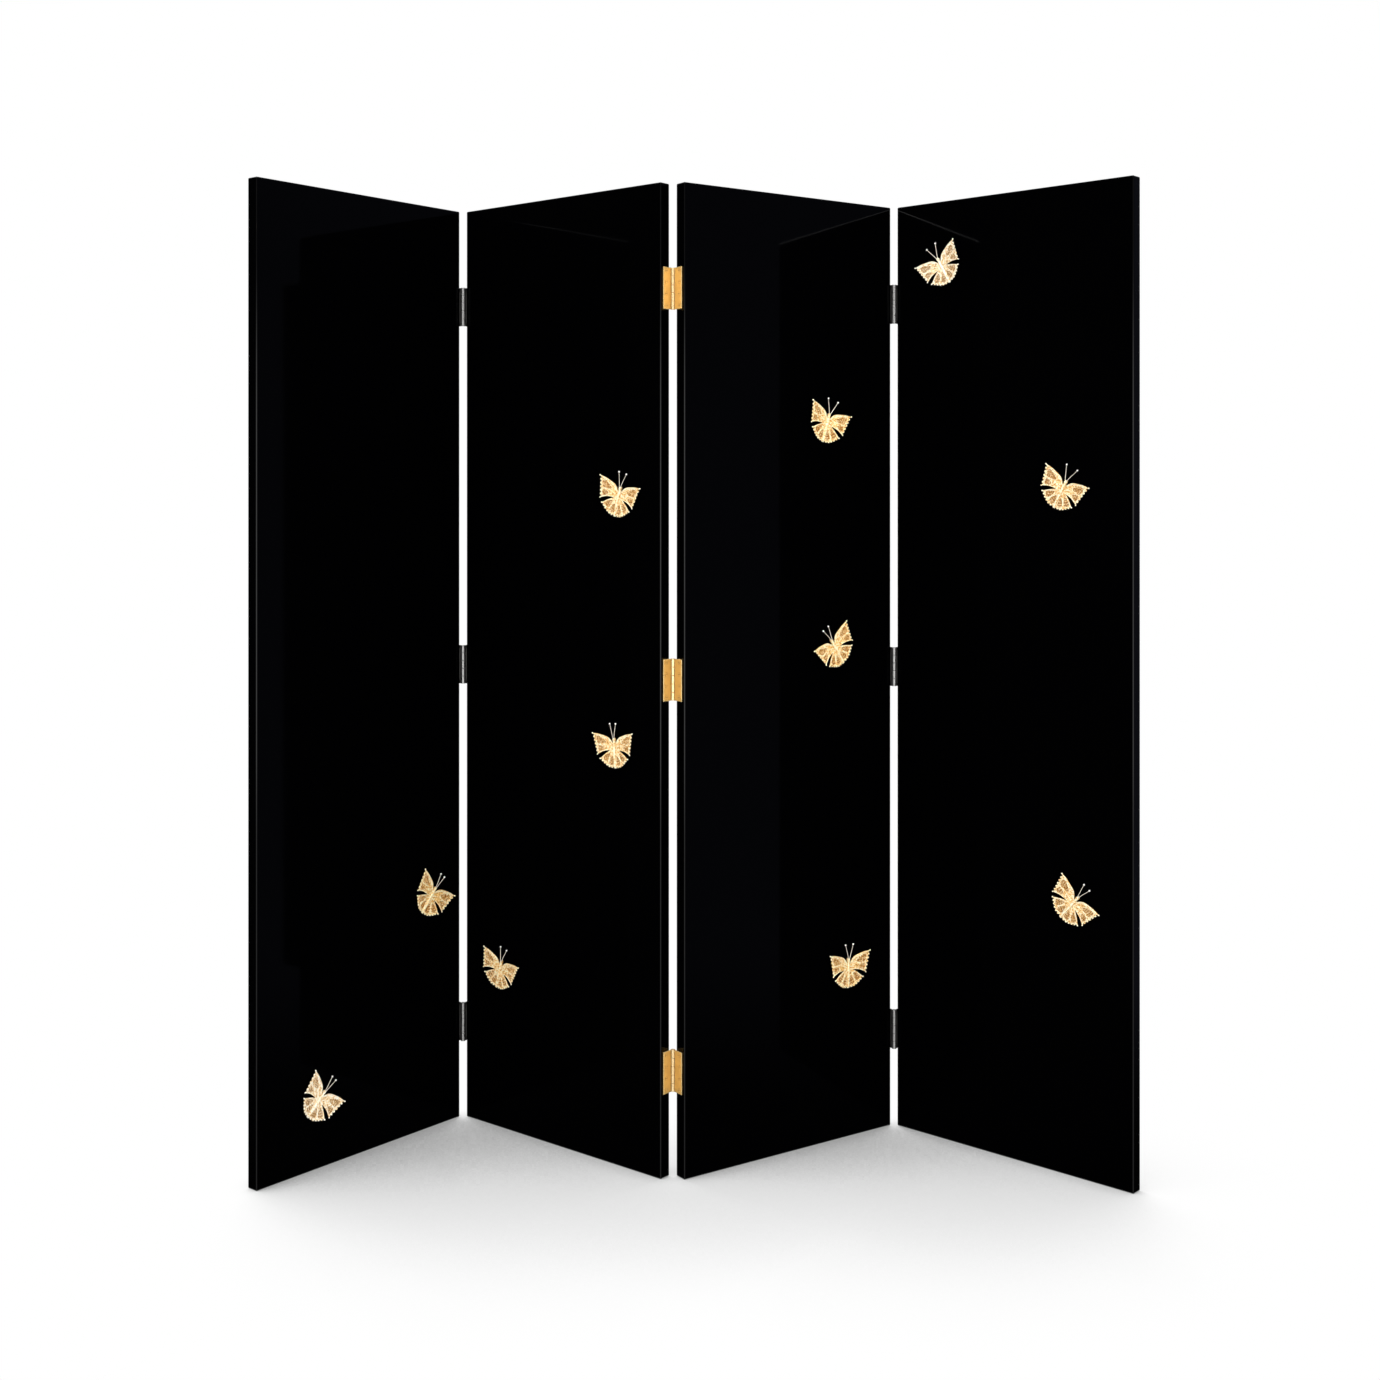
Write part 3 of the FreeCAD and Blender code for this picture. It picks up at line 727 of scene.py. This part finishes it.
def tilted(form):
    """The right wings turned up about the body by the wings' tilt and lifted off the panel, and then
    their mirror image."""
    across = (math.cos(WING_TILT), 0, math.sin(WING_TILT))
    out = (-math.sin(WING_TILT), 0, math.cos(WING_TILT))
    return form.placed(np.array((0, 0, WING_LIFT)), np.array((across, (0, 1, 0), out))).mirrored()


# The body's profile from tail to head: how far along, half its width, and its height
BODY_PROFILE = np.array((
    (-29.7, 0.3, 4.4), (-29.2, 1.4, 4.9), (-27, 1.9, 5.3), (-12, 2.3, 6.0),
    (5.3, 2.8, 6.4), (14, 2.8, 6.3), (19.2, 2.4, 6.0), (20.6, 2.6, 6.1),
    (23.3, 3.0, 6.4), (25.4, 2.3, 6.2), (26.3, 1.2, 5.4), (26.5, 0.2, 4.6),
)) * MM
BODY_ROWS = 56
BODY_SIDES = 18

# Feelers: how far along the tip and the root are, and how far out the root is; each bend's share of the
# tip's spread and how far along it is; how high the root is, and how much higher the bends and the tip
FEELER_TIP = 52.5 * MM
FEELER_ROOT = 23.6 * MM
FEELER_ROOT_ASIDE = 0.9 * MM
FEELER_BENDS = ((0.42, 35 * MM), (0.8, 46 * MM))
FEELER_LIFT = 5.2 * MM
FEELER_BEND_RISE = 0.5 * MM
FEELER_TIP_RISE = 0.4 * MM
FEELER_TAPER = 0.75
FEELER_RADIUS = 0.65 * MM
FEELER_BEAD = 1.75 * MM
FEELER_ROWS = 16
FEELER_SIDES = 8


def butterfly_body():
    """The bar body and head: each section is a rounded box, with cosines to the power 0.8 across and
    sines to the power 0.7 up; its profile is a smooth curve through the table's rows."""
    form = Form()
    profile = curve_through(BODY_PROFILE, BODY_ROWS)
    angle = np.arange(BODY_SIDES) * 2 * np.pi / BODY_SIDES
    side = np.sign(np.cos(angle)) * np.abs(np.cos(angle)) ** 0.8
    rise = (1 + np.sign(np.sin(angle)) * np.abs(np.sin(angle)) ** 0.7) / 2
    x = profile[:, 1:2] * side
    y = np.broadcast_to(profile[:, :1], x.shape)
    z = profile[:, 2:3] * rise
    rows = np.stack((x, y, z), -1)
    caps = rows[[0, -1]].copy()
    caps[..., 0] = 0
    caps[..., 2] = profile[[0, -1], 2:3] / 2
    rows = np.concatenate((caps[:1], rows, caps[1:]))
    # The tone rises towards the top of the body, which the gilding paints as a highlight along the top
    # and shade down the sides.
    tone = 0.5 + 0.45 * rise * np.ones((len(rows), 1))
    form.add(rows, grid_faces(len(rows), BODY_SIDES), tone)
    return form


def feelers(spread):
    """Two tapering feelers that bow a little outwards, each with a bead on its tip."""
    form = Form()
    tip = np.array((spread, FEELER_TIP, FEELER_LIFT + FEELER_TIP_RISE))
    root = (FEELER_ROOT_ASIDE, FEELER_ROOT, FEELER_LIFT)
    bends = [(share * spread, along, FEELER_LIFT + FEELER_BEND_RISE) for share, along in FEELER_BENDS]
    path = curve_through((root, *bends, tip), FEELER_ROWS)
    way = np.gradient(path, axis=0)
    way /= np.linalg.norm(way, axis=1)[:, None]
    across = np.cross(way, (0, 0, 1))
    across /= np.linalg.norm(across, axis=1)[:, None]
    up = np.cross(across, way)
    angle = np.arange(FEELER_SIDES) * 2 * np.pi / FEELER_SIDES
    radius = FEELER_RADIUS * np.linspace(1, FEELER_TAPER, FEELER_ROWS)
    radius[[0, -1]] = 0
    ring = across[:, None] * np.cos(angle)[:, None] + up[:, None] * np.sin(angle)[:, None]
    form.add(path[:, None] + radius[:, None, None] * ring, grid_faces(FEELER_ROWS, FEELER_SIDES), 1.0)
    # The bead's tone of 1.3 gives it a painted near-white highlight in the feelers' gilding.
    bead(form, tip, FEELER_BEAD, 1.3, 12, 9)
    return form.mirrored()


def make_butterflies(gilt, bead_highlit):
    plates, filigree = right_wings()
    body = butterfly_body()
    for number, (panel, across, up, lean, size, spread, pale) in enumerate(BUTTERFLIES, start=1):
        corner, (right, back, above) = panel_place(panel)
        spot = corner + right * across * PANEL_SIZE[0] + above * up * PANEL_SIZE[2]
        turn = math.radians(lean)
        axes = np.array((
            math.cos(turn) * right - math.sin(turn) * above,
            math.sin(turn) * right + math.cos(turn) * above,
            -back,
        ))
        parts = {
            "wings": (plates, size, gilt), "filigree": (filigree, size, gilt), "body": (body, 1, gilt),
            "feelers": (feelers(spread * MM), 1, bead_highlit),
        }
        for name, (form, scale, finish) in parts.items():
            form = form.placed(spot, axes * scale)
            piece = form.piece(f"butterfly_{number}_{name}", finish, pale=pale)
            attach(piece, panel)
            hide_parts(f"{panel}_butterflies")
            piece.visible_glossy = False


# Finishes

class Signal:
    """A value on its way through a finish; sums with it add Math nodes to the finish's tree."""

    def __init__(self, finish, socket):
        self.finish, self.socket = finish, socket

    def sum(self, operation, first, second):
        return self.finish.node("Math", {"operation": operation}, {0: first, 1: second})

    def __add__(self, other):
        return self.sum("ADD", self, other)

    def __sub__(self, other):
        return self.sum("SUBTRACT", self, other)

    def __rsub__(self, other):
        return self.sum("SUBTRACT", other, self)

    def __mul__(self, other):
        return self.sum("MULTIPLY", self, other)

    __radd__, __rmul__ = __add__, __mul__


class Finish:
    """A tree of nodes, with one method that adds any node: its settings first, then its sockets."""

    def __init__(self, tree):
        self.tree = tree

    def node(self, kind, settings={}, sockets={}, output=0):
        made = self.tree.nodes.new("ShaderNode" + kind)
        for name, value in settings.items():
            if name == "stops":
                ramp = made.color_ramp
                while len(ramp.elements) < len(value):
                    ramp.elements.new(1)
                for element, (position, colour) in zip(ramp.elements, value):
                    element.position = position
                    element.color = (*colour, 1)
            else:
                setattr(made, name, value)
        for socket, value in sockets.items():
            self.feed(made.inputs[socket], value)
        return Signal(self, made.outputs[output])

    def feed(self, socket, value):
        if isinstance(value, Signal):
            self.tree.links.new(value.socket, socket)
        else:
            socket.default_value = value

    def noise(self, scale, detail=2.0, stretch=(1, 1, 1)):
        """Cloudy noise, its grains a few to each length of 1 / scale, longer where stretch is small."""
        place = self.node("TexCoord", {}, {}, "Object")
        place = self.node("VectorMath", {"operation": "MULTIPLY"}, {0: place, 1: stretch})
        return self.node("TexNoise", {}, {"Vector": place, "Scale": scale, "Detail": detail})

    def between(self, value, low, high):
        """0 up to low, 1 from high, and smooth between."""
        limits = {"Value": value, "From Min": low, "From Max": high}
        return self.node("MapRange", {"interpolation_type": "SMOOTHSTEP"}, limits)

    def mix(self, share, first, second):
        return self.node("Mix", {"data_type": "RGBA"}, {0: share, 6: first, 7: second}, 2)

    def ramp(self, value, stops):
        return self.node("ValToRGB", {"stops": stops}, {"Fac": value})

    def bump(self, height, distance):
        return self.node("Bump", {}, {"Distance": distance, "Height": height}, "Normal")

    def cover(self, shader):
        """Makes a shader the material's surface."""
        self.feed(self.tree.nodes["Material Output"].inputs["Surface"], shader)

    def tone(self, name="tone"):
        return self.node("Attribute", {"attribute_name": name}, {}, "Fac")


def material(name, **constants):
    """A material with a Principled shader: returns it, its Finish and a function that feeds the shader.
    Names of constants are the shader's sockets with _ for a space."""
    made = bpy.data.materials.new(name)
    made.use_nodes = True
    finish = Finish(made.node_tree)
    shader = made.node_tree.nodes["Principled BSDF"]

    def paint(**values):
        for socket, value in values.items():
            finish.feed(shader.inputs[socket.replace("_", " ")], value)

    paint(**constants)
    return made, finish, paint


def grey(level):
    return (level, level, level, 1)


def black_lacquer():
    """Polished black lacquer: a faint unevenness in its gloss, fine polishing lines, and arrises rubbed
    through to a dark brown ground here and there."""
    made, finish, paint = material("black_lacquer", Specular_IOR_Level=0.22)
    cloud = finish.noise(9, 3)
    lines = finish.noise(420, 2, (1, 1, 0.03))
    speck = finish.noise(950, 1)
    wear_and_highlight = finish.between(finish.tone(), 0.35, 1.0) * finish.between(finish.noise(60, 4), 0.56, 0.75)
    paint(
        Base_Color=finish.mix(wear_and_highlight, (0.0002, 0.0002, 0.0003, 1), (0.010, 0.005, 0.003, 1)),
        Roughness=0.02 + 0.03 * cloud + 0.02 * lines + 0.25 * wear_and_highlight,
        Normal=finish.bump(0.8 * finish.noise(14, 1) + 0.05 * speck, 0.04 * MM),
    )
    return made


def gilt():
    """Old gilding: warm brown in the recesses as painted shade, and pale gold to near white on the
    wires as a painted highlight, with painted glints in spots as wide as a wire or two, fine pits, and
    a satin polish on what stands out."""
    made, finish, paint = material("gilt", Metallic=0.2, Specular_IOR_Level=0.2)
    grain = finish.noise(1500, 3)
    patch = finish.noise(90, 3)
    painted_glints = finish.noise(330, 1)
    # The wire-wide noise paints glints: some scroll turns are painted lit and others not.
    tone = finish.tone() + 0.30 * (patch - 0.5) + 0.16 * (grain - 0.5) + 1.9 * (painted_glints - 0.5)
    warm = finish.ramp(tone, GILT_WARM)
    cool = finish.ramp(tone, GILT_COOL)
    paint(
        Base_Color=finish.mix(finish.tone("pale"), warm, cool),
        Roughness=0.50 - 0.20 * finish.between(tone, 0.3, 1.0) + 0.1 * grain,
        Normal=finish.bump(grain + 0.6 * patch, 0.05 * MM),
    )
    return made


# The gilding's colours by tone, from painted shade in the recesses to a near-white painted highlight on
# the tops of the wires
GILT_WARM = (
    (0.0, (0.30, 0.107, 0.011)), (0.35, (0.58, 0.253, 0.038)),
    (0.7, (0.98, 0.595, 0.187)), (1.0, (1.0, 0.92, 0.60)),
)
GILT_COOL = (
    (0.0, (0.29, 0.165, 0.055)), (0.35, (0.54, 0.36, 0.17)),
    (0.7, (0.95, 0.75, 0.48)), (1.0, (1.0, 0.97, 0.90)),
)


def bead_highlit_gilt():
    """The feelers' gilding, painted almost silver white at their beads as a highlight, and paler in
    patches.
    """
    made, finish, paint = material("bead_highlit_gilt", Metallic=0.2)
    patch = finish.noise(500, 3)
    # The beads' high tone paints their highlight; the noise adds paler patches.
    wear_and_highlight = finish.between(finish.tone() + 0.6 * patch, 1.1, 1.7)
    paint(
        Base_Color=finish.mix(wear_and_highlight, (0.60, 0.51, 0.40, 1), (0.97, 0.95, 0.91, 1)),
        Roughness=0.28 + 0.15 * patch,
        Normal=finish.bump(patch, 0.04 * MM),
    )
    return made


def polished_brass():
    """Brass brushed along the hinge, tarnished in the screws' slots and in cloudy patches, and pale and
    smooth on the barrels and edges, which is partly rubbed wear and partly a painted highlight."""
    made, finish, paint = material("polished_brass", Metallic=0.6)
    brush = finish.noise(2200, 2, (1, 1, 0.04))
    cloud = finish.noise(70, 4)
    clean = finish.between(finish.tone() + 0.35 * (cloud - 0.5), 0.05, 0.75)
    # The pale colour on the barrels and leaf edges is partly rubbed wear and partly a painted
    # highlight.
    wear_and_highlight = finish.between(finish.tone(), 0.68, 0.82)
    plain = finish.mix(clean, (0.50, 0.24, 0.05, 1), (0.95, 0.60, 0.175, 1))
    paint(
        Base_Color=finish.mix(wear_and_highlight, plain, (1.0, 0.78, 0.42, 1)),
        Roughness=0.38 - 0.12 * clean - 0.08 * wear_and_highlight + 0.08 * brush,
        Normal=finish.bump(brush, 0.02 * MM),
    )
    return made


def blackened_brass():
    """Brass blackened all over, and rubbed to a dark gunmetal on its barrels and edges."""
    made, finish, paint = material("blackened_brass", Metallic=0.95)
    cloud = finish.noise(160, 4)
    worn = finish.between(finish.tone() + 0.15 * (cloud - 0.5), 0.62, 0.80)
    paint(
        Base_Color=finish.mix(worn, (0.022, 0.021, 0.020, 1), (0.32, 0.315, 0.31, 1)),
        Roughness=0.22 + 0.14 * cloud,
        Normal=finish.bump(finish.noise(1400, 2), 0.03 * MM),
    )
    return made


# The studio

FLOOR_HALF = 30
FLOOR_COLOUR = 0.82

# The floor's shade: how far the screen reaches in it, the way its light comes from, and how bright the
# floor is for each share of that light that gets past the screen
SHADE_RAYS = 16
SHADE_REACH = 0.9
CONTACT_REACH = 0.06
CONTACT_SPAN = (0.45, 0.95)
CONTACT_SHADE = 0.15
SHADE_AZIMUTH = math.radians(-35)
SHADE_RISE = math.radians(55)
FLOOR_SHADE = (
    (0.22, (0.33,) * 3), (0.25, (0.39,) * 3), (0.28, (0.52,) * 3), (0.31, (0.61,) * 3),
    (0.35, (0.69,) * 3), (0.50, (0.782,) * 3), (0.62, (0.866,) * 3), (0.70, (0.95,) * 3),
    (0.77, (0.990,) * 3), (0.86, (1.0,) * 3),
)

# The levels of the room that glossy surfaces mirror, the shares of the front wall's light that fade
# upwards and downwards, and where each part starts and is full along a direction's x, y or z
DOME_LIGHT = 0.6
FRONT_WALL = 1.2
WINDOW = 3.2
DARK_SIDE = 0.006
BLUISH_SIDE = (0.050, 0.053, 0.072, 1)
FADE_UP = 0.88
FADE_DOWN = 0.5
BACKDROP_SPAN = (0.38, 0.52)
WALL_SPAN = (0.42, 0.72)
WALL_TOP_SPAN = (0.5, 0.8)
WINDOW_SPAN = (0.88, 0.97)
FADE_UP_SPAN = (0.05, 0.14)
FADE_DOWN_SPAN = (0.13, 0.19)
FLOOR_SPAN = (0.42, 0.55)
RIGHT_SPAN = (0.5, 0.8)
RIGHT_FOOT_SPAN = (-0.33, -0.24)
FIRST_MIRRORING_SPAN = (1.2, 1.8)

# Softboxes: azimuth, elevation, distance, side, power, and whether glossy surfaces mirror them
SOFTBOXES = {
    "left_softbox": (-44, 38, 4.5, 1.8, 98, True),
    "right_softbox": (48, 36, 4.5, 1.8, 74, True),
    "top_softbox": (0, 70, 4.0, 2.0, 40, False),
    "low_left_softbox": (-58, 6, 5.0, 2.0, 70, False),
    "low_right_softbox": (58, 6, 5.0, 2.0, 90, False),
}


def make_floor():
    """A white floor with the soft shadow of the screen painted into the colour that the camera sees,
    falling forwards: the share of an area behind, above and a little left that the screen leaves open.
    The photograph's lacquer mirrors no floor, so glossy rays pass it by."""
    mesh = bpy.data.meshes.new("floor")
    corners = np.array(((-1, -1, 0), (1, -1, 0), (1, 1, 0), (-1, 1, 0)), float) * FLOOR_HALF
    mesh.from_pydata(corners.tolist(), [], [(0, 1, 2, 3)])
    made, finish, paint = material("white_floor", Roughness=1.0, Specular_IOR_Level=0.0)
    paint(Base_Color=grey(FLOOR_COLOUR))
    flat = math.cos(SHADE_RISE)
    way = (math.sin(SHADE_AZIMUTH) * flat, math.cos(SHADE_AZIMUTH) * flat, math.sin(SHADE_RISE))
    way = finish.node("CombineXYZ", {}, dict(zip("XYZ", way)))
    seen = finish.node("LightPath", {}, {}, "Is Camera Ray")
    rays = {"samples": SHADE_RAYS}
    far = finish.node("AmbientOcclusion", rays, {"Distance": SHADE_REACH, "Normal": way}, "AO")
    near = finish.node("AmbientOcclusion", rays, {"Distance": CONTACT_REACH}, "AO")
    # The shadow is painted: the camera sees the floor glow in a colour darkened by the share of light
    # the screen hides, and darker still right at its foot.
    contact = CONTACT_SHADE - CONTACT_SHADE * finish.between(near, *CONTACT_SPAN)
    shade = finish.mix(contact, finish.ramp(far, FLOOR_SHADE), grey(0.0))
    white = finish.node("Emission", {}, {"Color": shade})
    matt = Signal(finish, made.node_tree.nodes["Principled BSDF"].outputs["BSDF"])
    finish.cover(finish.node("MixShader", {}, {0: seen, 1: matt, 2: white}))
    mesh.materials.append(made)
    floor = bpy.data.objects.new("floor", mesh)
    bpy.context.scene.collection.objects.link(floor)
    floor.visible_glossy = False


def make_world():
    """White to the camera. Light on matt surfaces comes from an even dome. Glossy surfaces mirror the
    white backdrop behind the screen, a white wall with a window in front of it, which fades upwards and
    to the floor, the white floor just below, and dark sides, bluish on the right. In the photograph a
    panel mirrored in another one is black, so a second mirroring finds all the white ones dark."""
    world = bpy.data.worlds.new("studio")
    world.use_nodes = True
    bpy.context.scene.world = world
    finish = Finish(world.node_tree)
    way = finish.node("TexCoord", {}, {}, "Generated")
    x, y, z = (finish.node("SeparateXYZ", {}, {0: way}, axis) for axis in "XYZ")
    kinds = ("Camera", "Glossy", "Transmission")
    camera, glossy, clear = (finish.node("LightPath", {}, {}, f"Is {kind} Ray") for kind in kinds)
    again = finish.node("LightPath", {}, {}, "Glossy Depth")
    once = 1 - finish.between(again, *FIRST_MIRRORING_SPAN)
    back = finish.between(y, *BACKDROP_SPAN) * once
    front = finish.between(0 - y, *WALL_SPAN) * once * (1 - finish.between(z, *WALL_TOP_SPAN))
    below = finish.between(0 - z, *FLOOR_SPAN) * once
    right = finish.between(x, *RIGHT_SPAN) * finish.between(z, *RIGHT_FOOT_SPAN)
    side = finish.mix(right, grey(DARK_SIDE), BLUISH_SIDE)
    side = finish.mix(below, side, grey(FLOOR_COLOUR))
    wall = finish.mix(finish.between(0 - y, *WINDOW_SPAN), grey(FRONT_WALL), grey(WINDOW))
    dim = FADE_UP * finish.between(z, *FADE_UP_SPAN)
    dim = dim + FADE_DOWN * finish.between(0 - z, *FADE_DOWN_SPAN)
    wall = finish.mix(dim, wall, grey(0.0))
    mirrored = finish.mix(back, finish.mix(front, side, wall), grey(1.0))
    light = finish.mix(glossy, grey(DOME_LIGHT), mirrored)
    sky = world.node_tree.nodes["Background"]
    finish.feed(sky.inputs["Color"], finish.mix(camera + clear, light, grey(1.0)))


def softbox(name, azimuth, elevation, distance, side, power, mirrored):
    """A square softbox that faces the middle of the screen. Azimuth 0 is in front of the screen and
    90 on its right."""
    lamp = bpy.data.lights.new(name, "AREA")
    lamp.shape, lamp.size, lamp.energy = "SQUARE", side, power
    made = bpy.data.objects.new(name, lamp)
    bpy.context.scene.collection.objects.link(made)
    turn, rise = math.radians(azimuth), math.radians(elevation)
    away = np.array((math.sin(turn) * math.cos(rise), -math.cos(turn) * math.cos(rise), math.sin(rise)))
    made.location = away * distance + (0, 0, PANEL_SIZE[2] / 2)
    made.rotation_euler = (math.pi / 2 - rise, 0, turn)
    made.visible_glossy = mirrored


def make_camera():
    """A level camera at the photograph's place. Its shift brings the pixel straight ahead of it to
    where the photograph has it."""
    lens = bpy.data.cameras.new("camera")
    lens.sensor_width = SENSOR_WIDTH
    lens.lens = LENS_PIXELS / PHOTO_SIDE * SENSOR_WIDTH
    lens.shift_x = 0.5 - AHEAD_PIXEL[0] / PHOTO_SIDE
    lens.shift_y = AHEAD_PIXEL[1] / PHOTO_SIDE - 0.5
    camera = bpy.data.objects.new("camera", lens)
    camera.location = CAMERA_PLACE
    camera.rotation_euler = (math.pi / 2, 0, 0)
    bpy.context.scene.collection.objects.link(camera)
    bpy.context.scene.camera = camera
    bpy.context.scene.view_settings.view_transform = "Standard"


make_camera()
make_floor()
make_world()
for name, settings in SOFTBOXES.items():
    softbox(name, *settings)
lacquer = black_lacquer()
for panel in PANELS:
    make_panel(panel, lacquer)
make_hinges({"polished_brass": polished_brass(), "blackened_brass": blackened_brass()})
make_butterflies(gilt(), bead_highlit_gilt())
